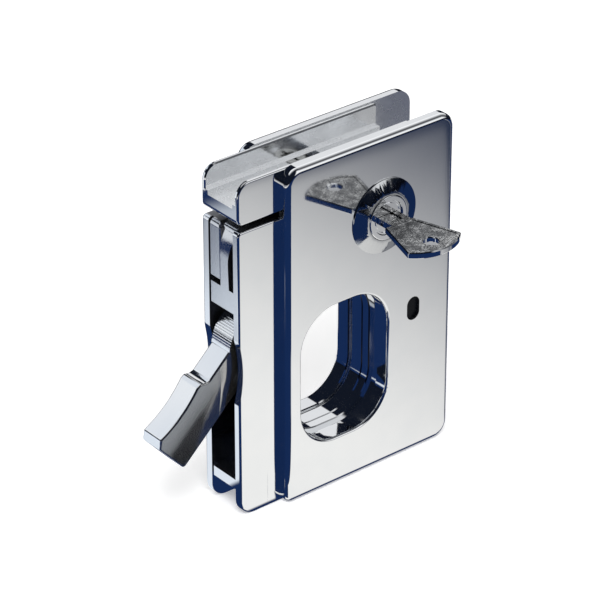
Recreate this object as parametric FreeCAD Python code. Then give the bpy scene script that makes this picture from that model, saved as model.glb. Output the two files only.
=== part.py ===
import FreeCAD, Part
import math
import os

# Notch lock for a sliding glass door: a swinging hook bolt, a key cylinder and a finger pull
# that goes right through. The lock fills a notch in the edge of the glass.
#
# Frame: the origin is the middle of the lower glass seat, the underside of the seat bar.
# X runs from the forend (low) to the glass (high), Y from the key side (low) to the plain
# side (high), Z up. Lengths are millimetres, angles are degrees.

V = FreeCAD.Vector
ALONG_X, ALONG_Y, ALONG_Z = V(1, 0, 0), V(0, 1, 0), V(0, 0, 1)

# Body between the covers
case_length = 60.6
body_thickness = 15.5
front_cheek = 2.2
rear_cheek = 2.7
case_height = 81.6
cheek_drop = 8.3
case_wall = 2.0
cheek_rounding = 0.55
case_top_corner = 1.2
case_foot_corner = 5.0
seat_bar_height = 3.1
parting_groove = 0.85
parting_groove_depth = 1.6

# Blocks and cross bar at the forend
block_length = 9.6
cross_bar_depth = 6.0
cross_bar_above_pivot = 12.9
cross_bar_height = 6.5
rear_block_gap = 1.9
block_rounding = 1.6
block_edge = 0.4
front_block_setback = 1.1
front_block_straight = 0.45
pocket_width = 2.3
pocket_top = 3.2

# Scallops in the cheeks' forend edges, beside the hook
scallop_radius = 40.0
scallop_depth = 1.3
scallop_below_pivot = 5.2

# Upper channel, which closes on the glass above
channel_gap = 2.0
channel_floor = 4.8
channel_depth = 7.8
channel_wall = 1.4
ledge_height = 1.3
channel_top_corner = 4.2
channel_end_corner = 0.8
channel_foot_corner = 2.0
channel_lip = 0.4

# Covers
cover_overlap = 13.4
cover_rise = 0.4
cover_thickness = 3.5
cover_setback = 14.0
cover_drop = 7.9
cover_corner = 4.8
cover_foot_corner = 1.9
cover_rounding = 1.65

# Finger pull, a rounded window through the whole lock
pull_width = 31.35
pull_height = 43.0
pull_corner = 12.5
pull_setback = 19.2
pull_foot = 7.3
pull_rim = 0.8
collar_wall = 1.0
front_collar = 1.35
rear_collar = 1.8
pull_wall = 2.0
pull_band_front = 3.0
pull_band_rear = 4.7
pull_joint = 0.3

# Small window in the front cover, closed by a plug
window_width = 4.6
window_height = 7.4
window_from_end = 0.8
window_level = 39.0
window_plug_depth = 0.95

# Hook bolt, measured along (s) and across (t) its arm from the pivot
pivot_from_forend = 9.4
pivot_height = 43.3
hook_thickness = 7.9
hook_offset = -0.2
hook_drop_angle = 42.0
hook_swing = 48.0
hook_reach = 39.7
hook_below = 4.9
hook_flare = 0.7
hook_neck = 7.0
hook_crest = 9.0
hook_hollow = 7.9
crest_start = 18.6
valley_start = 16.2
nose_length = 2.4
nose_height = 1.9
hook_edge = 0.5
hook_corner = 0.8
hook_taper = 0.6
hub_radius = 9.9
hub_arc_start = 110.0
lug_radius = 6.2
lug_thickness = 5.75
crank_pin_seat = 1.5
rib_count = 11
rib_pitch_angle = 4.3
rib_first_angle = 128.0
rib_radius = 0.2
pivot_pin_radius = 2.5
pin_seat_depth = 1.2
washer_radius = 3.9
washer_clearance = 0.05

# Drive from the cylinder to the hook
cam_radius = 4.9
cam_swing = 90.0
cam_thickness = 2.0
cam_hub_radius = 4.4
drive_pin_radius = 1.5
pin_lobe = 2.6
bar_thickness = 2.0
bar_front_y = 2.0
bar_rear_clearance = 0.4
strap_height = 5.6
strap_clearance = 0.3
bar_head_half = 3.6
bar_head_clearance = 0.5
bar_riser_width = 2.6
slot_play = 0.3
slot_end_play = 0.35
slot_wall = 1.8
guide_pin_radius = 1.2
guide_head_radius = 2.2
guide_head_height = 1.0
guide_left_x = -8.0
guide_right_x = 7.5

# Cylinder
cylinder_from_end = 12.2
cylinder_from_top = 9.1
barrel_radius = 6.65
barrel_proud = 2.0
barrel_rear_y = -2.4
plug_radius = 4.7
flange_radius = 5.2
flange_height = 1.0
plug_inset = 0.55
rosette_radius = 11.3
rosette_height = 1.75
rosette_rim = 0.35
clip_groove_radius = 6.05
clip_thickness = 0.9
clip_half_width = 8.5
clip_leg = 6.3
tail_square = 4.0
tail_length = 1.9
cam_screw_radius = 1.2
cam_screw_head = 2.6
cam_screw_head_height = 1.5
cam_screw_length = 4.6
ring_groove_radius = 4.2
ring_groove_width = 0.35

# Wafers, which lock the plug while the key is out
wafer_count = 4
wafer_pitch = 1.7
wafer_thickness = 0.9
wafer_width = 4.6
first_wafer_depth = 2.7
wafer_travel = 0.55
wafer_side_wall = 0.55
lock_groove_depth = 0.7
spring_wire = 0.16
spring_radius = 0.36
spring_turns = 4
spring_level = 3.05
spring_seat_x = 2.2
wafer_lug_width = 1.0
wafer_lug_top = 3.7
wafer_lug_x = 0.9

# Key
blade_width = 7.0
key_thickness = 1.9
blade_depth = 8.4
neck_length = 5.55
bow_offset = -0.7
bow_shoulder = 9.8
bow_width = 19.1
bow_flank = 14.8
bow_arc_height = 4.1
bow_corner = 0.7
bow_hole_radius = 2.1
bow_hole_from_shoulder = 13.3
bow_chamfer = 0.3
bow_border = 1.1
bow_recess = 0.15
bow_hole_rim = 0.25
key_cuts = [0.35, 0.75, 0.5, 0.9]
key_groove_width = 1.2
key_groove_depth = 0.35

# Clamp screw between the channel and the case, and the channel's guide dowels
clamp_from_cylinder = 14.8
clamp_radius = 2.5
clamp_head_radius = 3.8
clamp_head_height = 1.4
clamp_web = 1.7
clamp_length = 13.6
recess_arm = 4.4
recess_width = 1.0
recess_depth = 1.1
saddle_half_width = 5.4
saddle_depth = 2.4
nut_half_length = 4.5
nut_height = 7.4
nut_rib = 1.0
dowel_radius = 1.5
dowel_case_depth = 7.5
dowel_channel_depth = 3.6
left_dowel_from_forend = 5.0
right_dowel_from_end = 2.9
dowel_boss_wall = 1.5

# Fasteners, all driven from the plain side
case_screw_radius = 1.25
case_screw_head = 2.5
case_screw_cone = 1.3
case_boss_radius = 2.8
cover_screw_radius = 1.5
cover_screw_head = 3.0
cover_screw_cone = 1.7
cover_post_radius = 2.7
screw_slot_width = 0.7
screw_slot_depth = 0.7

# Clearances
fit_gap = 0.05
seat_gap = 0.02
loose_gap = 0.1
past = 1.0

# Places worked out from the sizes
forend_x = -case_length / 2
end_x = case_length / 2
outer_y = body_thickness / 2
front_in_y = -outer_y + front_cheek
rear_in_y = outer_y - rear_cheek
cover_y = outer_y + cover_thickness
channel_foot_z = case_height + channel_gap
floor_z = channel_foot_z + channel_floor
channel_top_z = floor_z + channel_depth
cover_x = forend_x + cover_setback
cover_end_x = end_x + cover_overlap
cover_top_z = channel_top_z + cover_rise
window_x = end_x - window_from_end
cylinder_x = end_x - cylinder_from_end
clamp_x = cylinder_x - clamp_from_cylinder
cross_bar_foot = pivot_height + cross_bar_above_pivot
scallop_height = pivot_height - scallop_below_pivot
cylinder_z = case_height - cylinder_from_top
pull_x = forend_x + pull_setback + pull_width / 2
pull_z = pull_foot + pull_height / 2
pivot_x = forend_x + pivot_from_forend
hook_front_y = hook_offset - hook_thickness / 2
hook_rear_y = hook_offset + hook_thickness / 2
slide_travel = 2 * cam_radius * math.sin(math.radians(cam_swing / 2))
crank_radius = slide_travel / (2 * math.sin(math.radians(hook_swing / 2)))
crank_x = pivot_x + slide_travel / 2
crank_low_z = pivot_height + crank_radius * math.cos(math.radians(hook_swing / 2))
crank_high_z = pivot_height + crank_radius
cam_pin_x = cylinder_x + slide_travel / 2
cam_pin_high_z = cylinder_z - cam_radius * math.cos(math.radians(cam_swing / 2))
cam_pin_low_z = cylinder_z - cam_radius
bar_rear_y = bar_front_y + bar_thickness
strap_foot_z = pull_foot + pull_height + pull_wall + strap_clearance
strap_z = strap_foot_z + strap_height / 2
barrel_front_y = -cover_y - barrel_proud
plug_front_y = barrel_front_y + plug_inset
cam_front_y = barrel_rear_y + 2 * seat_gap + 0.2
cam_rear_y = cam_front_y + cam_thickness
blade_tip_y = plug_front_y + blade_depth
cross_bar_top = cross_bar_foot + cross_bar_height
case_screws = [(forend_x + cross_bar_depth / 2, cross_bar_foot + cross_bar_height / 2),
               (pivot_x + 2.0, case_height - 10.6), (end_x - 5.3, pull_z - 1.8)]
cover_screws = [(end_x - 5.3, pull_foot + 1.7), (end_x - 5.3, pull_foot + pull_height - 3.8),
                (cover_x + 8.5, case_height - 13.6)]


def box(x, y, z):
    """Block between pairs of limits."""
    return Part.makeBox(x[1] - x[0], y[1] - y[0], z[1] - z[0], V(x[0], y[0], z[0]))


def rod_y(x, z, radius, y):
    """Round bar along Y."""
    return Part.makeCylinder(radius, y[1] - y[0], V(x, y[0], z), ALONG_Y)


def rod_z(x, y, radius, z):
    """Round bar along Z."""
    return Part.makeCylinder(radius, z[1] - z[0], V(x, y, z[0]), ALONG_Z)


def cone_y(x, z, radii, y):
    """Tapered bar along Y."""
    return Part.makeCone(radii[0], radii[1], y[1] - y[0], V(x, y[0], z), ALONG_Y)


def arc(start, middle, end):
    return Part.Arc(start, middle, end).toShape()


def line(start, end):
    return Part.LineSegment(start, end).toShape()


def rounded_outline(x, z, corners, y):
    """Rectangle in XZ whose corners, from low x and low z round to the right, have own radii."""
    points = [(x[0], z[0], 1, 1), (x[1], z[0], -1, 1), (x[1], z[1], -1, -1), (x[0], z[1], 1, -1)]
    edges = []
    ends = []
    diagonal = math.sqrt(0.5)
    for k, (px, pz, sx, sz) in enumerate(points):
        r = corners[k]
        centre = V(px + sx * r, y, pz + sz * r)
        along_z = V(px, y, pz + sz * r)
        along_x = V(px + sx * r, y, pz)
        middle = centre - V(sx * r * diagonal, 0, sz * r * diagonal)
        first, last = (along_z, along_x) if k % 2 == 0 else (along_x, along_z)
        ends.append((first, middle, last))
    for k, (first, middle, last) in enumerate(ends):
        edges.append(arc(first, middle, last))
        following = ends[(k + 1) % 4][0]
        if (following - last).Length > 1e-6:
            edges.append(line(last, following))
    return Part.Wire(edges)


def rounded_plate(x, z, corners, y):
    """Plate with the rounded outline, between two planes."""
    face = Part.Face(rounded_outline(x, z, corners, y[0]))
    return face.extrude(V(0, y[1] - y[0], 0))


def face_edges(shape, y):
    """Edges that lie in the plane at this y."""
    return [e for e in shape.Edges if all(abs(v.Y - y) < 1e-5 for v in e.Vertexes)
            and abs(e.BoundBox.YLength) < 1e-4]


def upright(edge):
    """Whether an edge runs along Z."""
    a, b = edge.Vertexes[0].Point, edge.Vertexes[-1].Point
    return abs(a.x - b.x) < 1e-5 and abs(a.y - b.y) < 1e-5 and abs(a.z - b.z) > 1e-3


def flat_edge(edge):
    """Whether an edge lies in a plane of constant Z."""
    return all(abs(v.Z - edge.Vertexes[0].Z) < 1e-5 for v in edge.Vertexes) and edge.BoundBox.ZLength < 0.2


def pull_plug(offset, y):
    """The finger pull's outline, grown by offset, as a solid between two planes."""
    half_w = pull_width / 2 + offset
    half_h = pull_height / 2 + offset
    r = pull_corner + offset
    return rounded_plate((pull_x - half_w, pull_x + half_w), (pull_z - half_h, pull_z + half_h),
                         [r] * 4, y)


def obround_z(x, z, radius, half_run, y):
    """Bar along Y whose section is a slot standing in Z."""
    body = rounded_plate((x - radius, x + radius), (z - half_run - radius, z + half_run + radius),
                         [radius * 0.9999] * 4, y)
    return body


def obround_x(x, z, radius, y):
    """Bar along Y whose section is a slot lying between two x places."""
    return rounded_plate((x[0] - radius, x[1] + radius), (z - radius, z + radius),
                         [radius * 0.9999] * 4, y)


def countersunk(x, z, radii, cone, y):
    """Hole cutter for a countersunk screw whose head faces high y."""
    shank, head = radii
    hole = rod_y(x, z, shank, y)
    sink = cone_y(x, z, (shank, head), (y[1] - cone, y[1]))
    return hole.fuse(sink)


def cover_blank(y_in, y_out):
    """Rounded plate of one cover; y_out is its polished face."""
    low, high = min(y_in, y_out), max(y_in, y_out)
    plate = rounded_plate((cover_x, cover_end_x), (-cover_drop, cover_top_z),
                          [cover_foot_corner] + [cover_corner] * 3, (low, high))
    return plate.makeFillet(cover_rounding, face_edges(plate, y_out))


def front_cover():
    """Cover on the key side: pull window with its collar, cylinder hole, slot and screw posts."""
    cover = cover_blank(-outer_y, -cover_y)
    collar = pull_plug(collar_wall, (-outer_y - past, -outer_y + front_collar))
    cover = cover.fuse(collar)
    for x, z in cover_screws:
        cover = cover.fuse(rod_y(x, z, cover_post_radius, (-outer_y - past, -seat_gap)))
    cover = cover.cut(pull_plug(0, (-cover_y - past, outer_y)))
    cover = cover.makeFillet(pull_rim, window_edges(cover, -cover_y))
    cover = cover.makeChamfer(pull_joint, joint_edges(cover, -outer_y + front_collar))
    cover = cover.cut(rod_y(cylinder_x, cylinder_z, barrel_radius + loose_gap, (-cover_y - past, 0)))
    half_run = (window_height - window_width) / 2
    cover = cover.cut(obround_z(window_x, window_level, window_width / 2,
                                half_run, (-cover_y - past, 0)))
    for x, z in cover_screws:
        cover = cover.cut(rod_y(x, z, cover_screw_radius + seat_gap, (-outer_y + seat_gap, past)))
    return cover


def window_plug():
    """Plug that closes the small window, a little below the cover's face."""
    radius = window_width / 2 - seat_gap
    half_run = (window_height - window_width) / 2
    plug = obround_z(window_x, window_level, radius, half_run,
                     (-cover_y + window_plug_depth, -outer_y - seat_gap))
    return plug.makeFillet(0.2, face_edges(plug, -cover_y + window_plug_depth))


def window_edges(cover, y):
    """Edges of the finger pull's rim in the plane at y."""
    reach_x, reach_z = pull_width / 2 + 0.5, pull_height / 2 + 0.5
    return [e for e in face_edges(cover, y) if abs(e.BoundBox.Center.x - pull_x) < reach_x
            and abs(e.BoundBox.Center.z - pull_z) < reach_z]


def joint_edges(shape, y):
    """Edges round the finger pull where two of its rings meet in the plane at y."""
    reach_x, reach_z = pull_width / 2 + 1e-4, pull_height / 2 + 1e-4
    return [e for e in face_edges(shape, y)
            if all(abs(v.X - pull_x) < reach_x and abs(v.Z - pull_z) < reach_z for v in e.Vertexes)]


def rear_cover():
    """Cover on the plain side: pull window with its collar and countersunk holes."""
    cover = cover_blank(outer_y, cover_y)
    cover = cover.fuse(pull_plug(collar_wall, (outer_y - rear_collar, outer_y + past)))
    cover = cover.cut(pull_plug(0, (-outer_y, cover_y + past)))
    cover = cover.makeFillet(pull_rim, window_edges(cover, cover_y))
    cover = cover.makeChamfer(pull_joint, joint_edges(cover, outer_y - rear_collar))
    for x, z in cover_screws:
        radii = (cover_screw_radius + loose_gap, cover_screw_head + seat_gap)
        cover = cover.cut(countersunk(x, z, radii, cover_screw_cone, (outer_y - past, cover_y)))
    return cover


def cheek_plate(y_in, y_out):
    """One cheek of the lower case, scalloped at the forend beside the hook."""
    low, high = min(y_in, y_out), max(y_in, y_out)
    plate = rounded_plate((forend_x, end_x), (-cheek_drop, case_height),
                          [case_foot_corner, case_foot_corner, case_top_corner, case_top_corner],
                          (low, high))
    plate = plate.makeFillet(cheek_rounding, face_edges(plate, y_out))
    scallop = rod_y(forend_x - scallop_radius + scallop_depth, scallop_height, scallop_radius,
                    (low - past, high + past))
    return plate.cut(scallop)


def case_walls(y):
    """Walls that both halves share: roof, end wall, nut ribs and right dowel boss."""
    roof = box((forend_x + block_length, end_x), y, (case_height - case_wall, case_height))
    end_wall = box((end_x - case_wall, end_x), y, (seat_bar_height, case_height))
    walls = roof.fuse(end_wall)
    nut_foot = case_height - case_wall - nut_height
    for side in (-1, 1):
        near = clamp_x + side * (nut_half_length + loose_gap)
        far = near + side * nut_rib
        walls = walls.fuse(box((min(near, far), max(near, far)), y,
                               (nut_foot, case_height - case_wall)))
    boss_x = end_x - right_dowel_from_end - dowel_radius - dowel_boss_wall + 0.2
    half = dowel_radius + dowel_boss_wall
    boss = box((boss_x, end_x), (max(y[0], -half), min(y[1], half)),
               (case_height - dowel_case_depth - past, case_height))
    return walls.fuse(boss)


def pull_tube(y_from, y_to, band):
    """Wall round the finger pull: flush in the band, set back where the cover's collar enters."""
    tube = pull_plug(pull_wall, (y_from, y_to))
    low, high = band
    tube = tube.cut(pull_plug(0, (y_from - past, y_to + past)))
    recess = collar_wall + loose_gap
    if y_from < low:
        tube = tube.cut(pull_plug(recess, (y_from - past, low)))
    if y_to > high:
        tube = tube.cut(pull_plug(recess, (high, y_to + past)))
    ends = joint_edges(tube, max(low, y_from)) + joint_edges(tube, min(high, y_to))
    return tube.makeChamfer(pull_joint, ends)


def case_bores():
    """Cuts that go through both halves: clamp screw, nut room and dowels."""
    cut = rod_z(clamp_x, 0, clamp_radius + loose_gap, (case_height - case_wall - past, case_height + past))
    for x in (forend_x + left_dowel_from_forend, end_x - right_dowel_from_end):
        cut = cut.fuse(rod_z(x, 0, dowel_radius + fit_gap,
                             (case_height - dowel_case_depth, case_height + past)))
    return cut


def front_block():
    """Casting block under the channel, hollowed beside the front cheek."""
    x = forend_x
    top, foot = case_height, cross_bar_top
    pocket_y = front_in_y + pocket_width
    middle = V(x, front_in_y + pocket_width * 0.72, top - pocket_top - (top - foot) * 0.2)
    low = V(x, pocket_y, foot + (top - foot) * 0.38)
    start = V(x, front_in_y, top - pocket_top)
    edges = [line(V(x, 0, foot), V(x, 0, top)), line(V(x, 0, top), V(x, front_in_y, top)),
             line(V(x, front_in_y, top), start), arc(start, middle, low),
             line(low, V(x, pocket_y - 0.3, foot)), line(V(x, pocket_y - 0.3, foot), V(x, 0, foot))]
    face = Part.Face(Part.Wire(edges))
    block = face.extrude(V(block_length, 0, 0))
    return block.common(front_block_side())


def front_block_side():
    """Side view of the front block as a solid: upright below, leaning back and rounded above."""
    top, foot, r = case_height, cross_bar_top, block_rounding
    bend = foot + (top - foot) * front_block_straight
    back = forend_x + front_block_setback
    y = front_in_y - past
    diagonal = r * (1 - math.sqrt(0.5))
    corner = top - r
    edges = [line(V(forend_x, y, foot), V(forend_x, y, bend)),
             arc(V(forend_x, y, bend), V(forend_x + front_block_setback * 0.22, y, (bend + corner) / 2),
                 V(back, y, corner)),
             arc(V(back, y, corner), V(back + diagonal, y, top - diagonal), V(back + r, y, top)),
             line(V(back + r, y, top), V(forend_x + block_length, y, top)),
             line(V(forend_x + block_length, y, top), V(forend_x + block_length, y, foot)),
             line(V(forend_x + block_length, y, foot), V(forend_x, y, foot))]
    return Part.Face(Part.Wire(edges)).extrude(V(0, past - y, 0))


def rear_block():
    """Casting block under the channel on the plain side, rounded at the forend."""
    block = box((forend_x, forend_x + block_length), (0, rear_in_y + seat_gap),
                (cross_bar_top + rear_block_gap, case_height))
    front = [e for e in block.Edges if upright(e) and abs(e.BoundBox.XMin - forend_x) < 1e-5
             and abs(e.BoundBox.YMin) < 1e-5]
    block = block.makeFillet(block_edge, front)
    roll = [e for e in block.Edges if flat_edge(e) and abs(e.BoundBox.XMax - forend_x) < 1e-5
            and e.BoundBox.ZMin > case_height - 1e-5]
    return block.makeFillet(block_rounding, roll)


def case_front_half():
    """Front casting: cheek, seat bar, cross bar, block, half the walls and the screw bosses."""
    half = cheek_plate(front_in_y, -outer_y)
    y = (front_in_y - seat_gap, 0)
    tube = pull_tube(front_in_y, 0, (-pull_band_front, outer_y))
    half = half.fuse([case_walls(y), front_block(), tube])
    half = half.fuse(box((forend_x, end_x), (front_in_y - seat_gap, rear_in_y), (0, seat_bar_height)))
    half = half.fuse(box((forend_x, forend_x + cross_bar_depth), (front_in_y - seat_gap, rear_in_y),
                         (cross_bar_foot, cross_bar_top)))
    for x, z in case_screws[1:]:
        half = half.fuse(rod_y(x, z, case_boss_radius, (front_in_y - seat_gap, 0)))
    half = half.cut(pull_plug(collar_wall + loose_gap, (-outer_y - past, front_in_y + seat_gap)))
    half = half.cut(box((forend_x - past, forend_x + parting_groove_depth),
                        (rear_in_y - parting_groove, rear_in_y + past), (-past, case_height + past)))
    for x, z in case_screws:
        half = half.cut(rod_y(x, z, case_screw_radius + seat_gap, (front_in_y + 1.2, rear_in_y + past)))
    for x, z in cover_screws:
        half = half.cut(rod_y(x, z, cover_post_radius + loose_gap, (-outer_y - past, past)))
    half = half.cut(rod_y(cylinder_x, cylinder_z, barrel_radius + loose_gap, (-outer_y - past, 0)))
    half = half.cut(rod_y(pivot_x, pivot_height, pivot_pin_radius + seat_gap,
                          (front_in_y - pin_seat_depth, 0)))
    return half.cut(case_bores()).removeSplitter()


def case_rear_half():
    """Rear casting: cheek, block, the other half of the walls and the screw sleeves."""
    half = cheek_plate(rear_in_y, outer_y)
    y = (0, rear_in_y + seat_gap)
    tube = pull_tube(0, rear_in_y, (-outer_y, pull_band_rear))
    half = half.fuse([case_walls(y), rear_block(), tube])
    for x, z in case_screws[1:]:
        half = half.fuse(rod_y(x, z, case_boss_radius, y))
    for x, z in cover_screws:
        half = half.fuse(rod_y(x, z, cover_post_radius, y))
    half = half.cut(pull_plug(collar_wall + loose_gap, (rear_in_y - seat_gap, outer_y + past)))
    half = half.cut(box((forend_x - past, forend_x + parting_groove_depth),
                        (rear_in_y - parting_groove, rear_in_y), (-past, case_height + past)))
    for x, z in case_screws:
        half = half.cut(countersunk(x, z, (case_screw_radius + loose_gap, case_screw_head + seat_gap),
                                    case_screw_cone, (-past, outer_y)))
    for x, z in cover_screws:
        half = half.cut(rod_y(x, z, cover_screw_radius + loose_gap, (-past, outer_y + past)))
    for seat, radius in guide_seats():
        half = half.cut(rod_y(seat[0], seat[1], radius + seat_gap,
                              (rear_in_y - past, rear_in_y + pin_seat_depth)))
    return half.cut(case_bores()).removeSplitter()


def guide_seats():
    """Seats in the rear cheek for the pivot and the two guide pins."""
    return [((pivot_x, pivot_height), pivot_pin_radius),
            ((guide_left_x, strap_z), guide_pin_radius), ((guide_right_x, strap_z), guide_pin_radius)]


def upper_channel():
    """Trough that takes the glass above, with a saddle and counterbore for the clamp screw."""
    corners = [channel_foot_corner] * 2 + [channel_end_corner, channel_top_corner]
    body = rounded_plate((forend_x, end_x), (channel_foot_z, channel_top_z), corners,
                         (-outer_y, outer_y))
    body = body.makeFillet(cheek_rounding, face_edges(body, -outer_y) + face_edges(body, outer_y))
    across = (forend_x - past, end_x + past)
    body = body.cut(box(across, (front_in_y, rear_in_y), (floor_z, channel_top_z + past)))
    body = body.cut(box(across, (-outer_y + channel_wall, outer_y - channel_wall),
                        (floor_z + ledge_height, channel_top_z + past)))
    body = body.makeChamfer(channel_lip, [e for y in (-1, 1) for e in
                                          face_edges(body, y * (outer_y - channel_wall))
                                          if e.BoundBox.ZMax > channel_top_z - 0.01])
    saddle_radius = (saddle_half_width ** 2 + saddle_depth ** 2) / (2 * saddle_depth)
    body = body.cut(rod_y(clamp_x, floor_z - saddle_depth + saddle_radius, saddle_radius,
                          (front_in_y, rear_in_y)))
    body = body.cut(rod_z(clamp_x, 0, clamp_head_radius + loose_gap,
                          (channel_foot_z + clamp_web, floor_z)))
    body = body.cut(rod_z(clamp_x, 0, clamp_radius + loose_gap, (channel_foot_z - past, floor_z)))
    for x in (forend_x + left_dowel_from_forend, end_x - right_dowel_from_end):
        body = body.cut(rod_z(x, 0, dowel_radius + seat_gap,
                              (channel_foot_z - past, channel_foot_z + dowel_channel_depth)))
    return body


def channel_dowels():
    """Two dowels pressed into the channel that slide in the case."""
    foot = case_height - dowel_case_depth + channel_gap + 0.2
    dowels = [rod_z(x, 0, dowel_radius, (foot, channel_foot_z + dowel_channel_depth - seat_gap))
              for x in (forend_x + left_dowel_from_forend, end_x - right_dowel_from_end)]
    return Part.makeCompound(dowels)


def clamp_screw():
    """Cross-recessed screw that draws the channel to the case."""
    head_z = channel_foot_z + clamp_web + fit_gap
    head = rod_z(clamp_x, 0, clamp_head_radius, (head_z, head_z + clamp_head_height))
    rim = [e for e in head.Edges if flat_edge(e) and e.Vertexes[0].Z > head_z + 0.1]
    head = head.makeFillet(0.5, rim)
    shank = rod_z(clamp_x, 0, clamp_radius, (head_z - clamp_length, head_z))
    screw = head.fuse(shank)
    top = head_z + clamp_head_height
    half, arm = recess_width / 2, recess_arm / 2
    for x_half, y_half in ((arm, half), (half, arm)):
        screw = screw.cut(box((clamp_x - x_half, clamp_x + x_half), (-y_half, y_half),
                              (top - recess_depth, top + past)))
    return screw


def clamp_nut():
    """Threaded block under the roof of the case."""
    roof = case_height - case_wall
    nut = box((clamp_x - nut_half_length, clamp_x + nut_half_length),
              (front_in_y + seat_gap, rear_in_y - seat_gap), (roof - nut_height, roof - seat_gap))
    nut = nut.makeChamfer(0.5, [e for e in nut.Edges if e.BoundBox.ZLength > nut_height / 2])
    return nut.cut(rod_z(clamp_x, 0, clamp_radius + fit_gap, (roof - nut_height - past, roof + past)))


def arm_point(s, t, y=0.0):
    """Place of a point of the hook, thrown, from its distance along and across the arm."""
    a = math.radians(180 + hook_drop_angle)
    along = V(math.cos(a), 0, math.sin(a))
    across = V(math.sin(a), 0, -math.cos(a))
    return V(pivot_x, y, pivot_height) + along * s + across * t


def hub_point(angle, radius, y=0.0):
    """Place of a point round the pivot, by its angle from +X towards +Z."""
    a = math.radians(angle)
    return V(pivot_x + radius * math.cos(a), y, pivot_height + radius * math.sin(a))


def hook_arm():
    """Arm with its catch: the outline across the face, narrowed towards the lower edge."""
    y = hook_front_y
    reach, below = hook_reach, hook_below
    low = -below - hook_flare
    p = [arm_point(-1.5, -below, y), arm_point(reach - 1.0, low, y),
         arm_point(reach - 0.3, low + 0.3, y), arm_point(reach, low + 1.0, y),
         arm_point(reach, hook_crest - nose_height, y), arm_point(reach - nose_length, hook_crest, y),
         arm_point((reach - nose_length + crest_start + 1.6) / 2, hook_hollow, y),
         arm_point(crest_start + 1.6, hook_crest, y), arm_point(crest_start, hook_crest - 0.2, y),
         arm_point(crest_start - 0.9, hook_neck + 0.6, y), arm_point(valley_start, hook_neck - 0.2, y),
         arm_point(7.2, hook_neck, y), arm_point(-1.5, hook_neck - 1.0, y)]
    edges = [line(p[0], p[1]), arc(p[1], p[2], p[3]), line(p[3], p[4]), line(p[4], p[5]),
             arc(p[5], p[6], p[7]), line(p[7], p[8]), arc(p[8], p[9], p[10]),
             line(p[10], p[11]), line(p[11], p[12]), line(p[12], p[0])]
    arm = Part.Face(Part.Wire(edges)).extrude(V(0, hook_thickness, 0))
    low -= past
    bend = 3.0
    sides = []
    for y_face, sign in ((hook_front_y, 1), (hook_rear_y, -1)):
        sides.append((arm_point(-3, hook_crest + past, y_face), arm_point(-3, bend, y_face),
                      arm_point(-3, (bend + low) / 2, y_face + sign * hook_taper * 0.25),
                      arm_point(-3, low, y_face + sign * hook_taper)))
    f, r = sides
    section = Part.Wire([line(f[0], f[1]), arc(f[1], f[2], f[3]), line(f[3], r[3]),
                         arc(r[3], r[2], r[1]), line(r[1], r[0]), line(r[0], f[0])])
    run = arm_point(reach + 3, 0) - arm_point(-3, 0)
    arm = arm.common(Part.Face(section).extrude(run))
    arm = arm.makeFillet(hook_corner, [e for e in arm.Edges if e.BoundBox.YLength > hook_thickness / 2])
    faces = face_edges(arm, hook_front_y) + face_edges(arm, hook_rear_y)
    return arm.makeFillet(hook_edge, faces)


def hook_bolt():
    """Hook: arm, ribbed hub and the thinner lug that carries the crank pin."""
    start, end = hub_arc_start, 180 + hook_drop_angle - 20
    middle = V(pivot_x, hook_front_y, pivot_height)
    a, b, c = [hub_point(angle, hub_radius, hook_front_y) for angle in (start, (start + end) / 2, end)]
    hub = Part.Face(Part.Wire([line(middle, a), arc(a, b, c), line(c, middle)]))
    hub = hub.extrude(V(0, hook_thickness, 0))
    lug_y = (hook_front_y, hook_front_y + lug_thickness)
    lug = rod_y(pivot_x, pivot_height, lug_radius, lug_y)
    lug = lug.fuse(rod_y(crank_x, crank_low_z, pin_lobe, lug_y))
    a = math.radians(90 - hook_swing / 2)
    side = V(math.sin(a), 0, -math.cos(a)) * pin_lobe
    foot, top = V(pivot_x, lug_y[0], pivot_height), V(crank_x, lug_y[0], crank_low_z)
    web = Part.Face(Part.makePolygon([foot + side, top + side, top - side, foot - side, foot + side]))
    lug = lug.fuse(web.extrude(V(0, lug_thickness, 0)))
    hook = hook_arm().fuse([hub, lug])
    for k in range(rib_count):
        rib = hub_point(rib_first_angle + k * rib_pitch_angle, hub_radius + rib_radius * 0.4)
        hook = hook.cut(rod_y(rib.x, rib.z, rib_radius, (hook_front_y - past, hook_rear_y + past)))
    hook = hook.cut(rod_y(pivot_x, pivot_height, pivot_pin_radius + fit_gap, (-outer_y, outer_y)))
    hook = hook.cut(rod_y(crank_x, crank_low_z, drive_pin_radius + seat_gap,
                          (hook_front_y + crank_pin_seat, outer_y)))
    return hook.removeSplitter()


def hook_pivot_pin():
    """Pin that the hook swings on, seated in both cheeks."""
    return rod_y(pivot_x, pivot_height, pivot_pin_radius,
                 (front_in_y - pin_seat_depth + seat_gap, rear_in_y + pin_seat_depth - seat_gap))


def hook_washers():
    """Washers that centre the hook between the cheeks."""
    rings = []
    for y in ((front_in_y + seat_gap, hook_front_y - washer_clearance),
              (hook_rear_y + washer_clearance, rear_in_y - seat_gap)):
        ring = rod_y(pivot_x, pivot_height, washer_radius, y)
        hole = rod_y(pivot_x, pivot_height, pivot_pin_radius + seat_gap, (y[0] - past, y[1] + past))
        rings.append(ring.cut(hole))
    return Part.makeCompound(rings)


def hook_crank_pin():
    """Pin in the hook's lug that the slide bar pushes."""
    return rod_y(crank_x, crank_low_z, drive_pin_radius,
                 (hook_front_y + crank_pin_seat + seat_gap, bar_rear_y + bar_rear_clearance))


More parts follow.
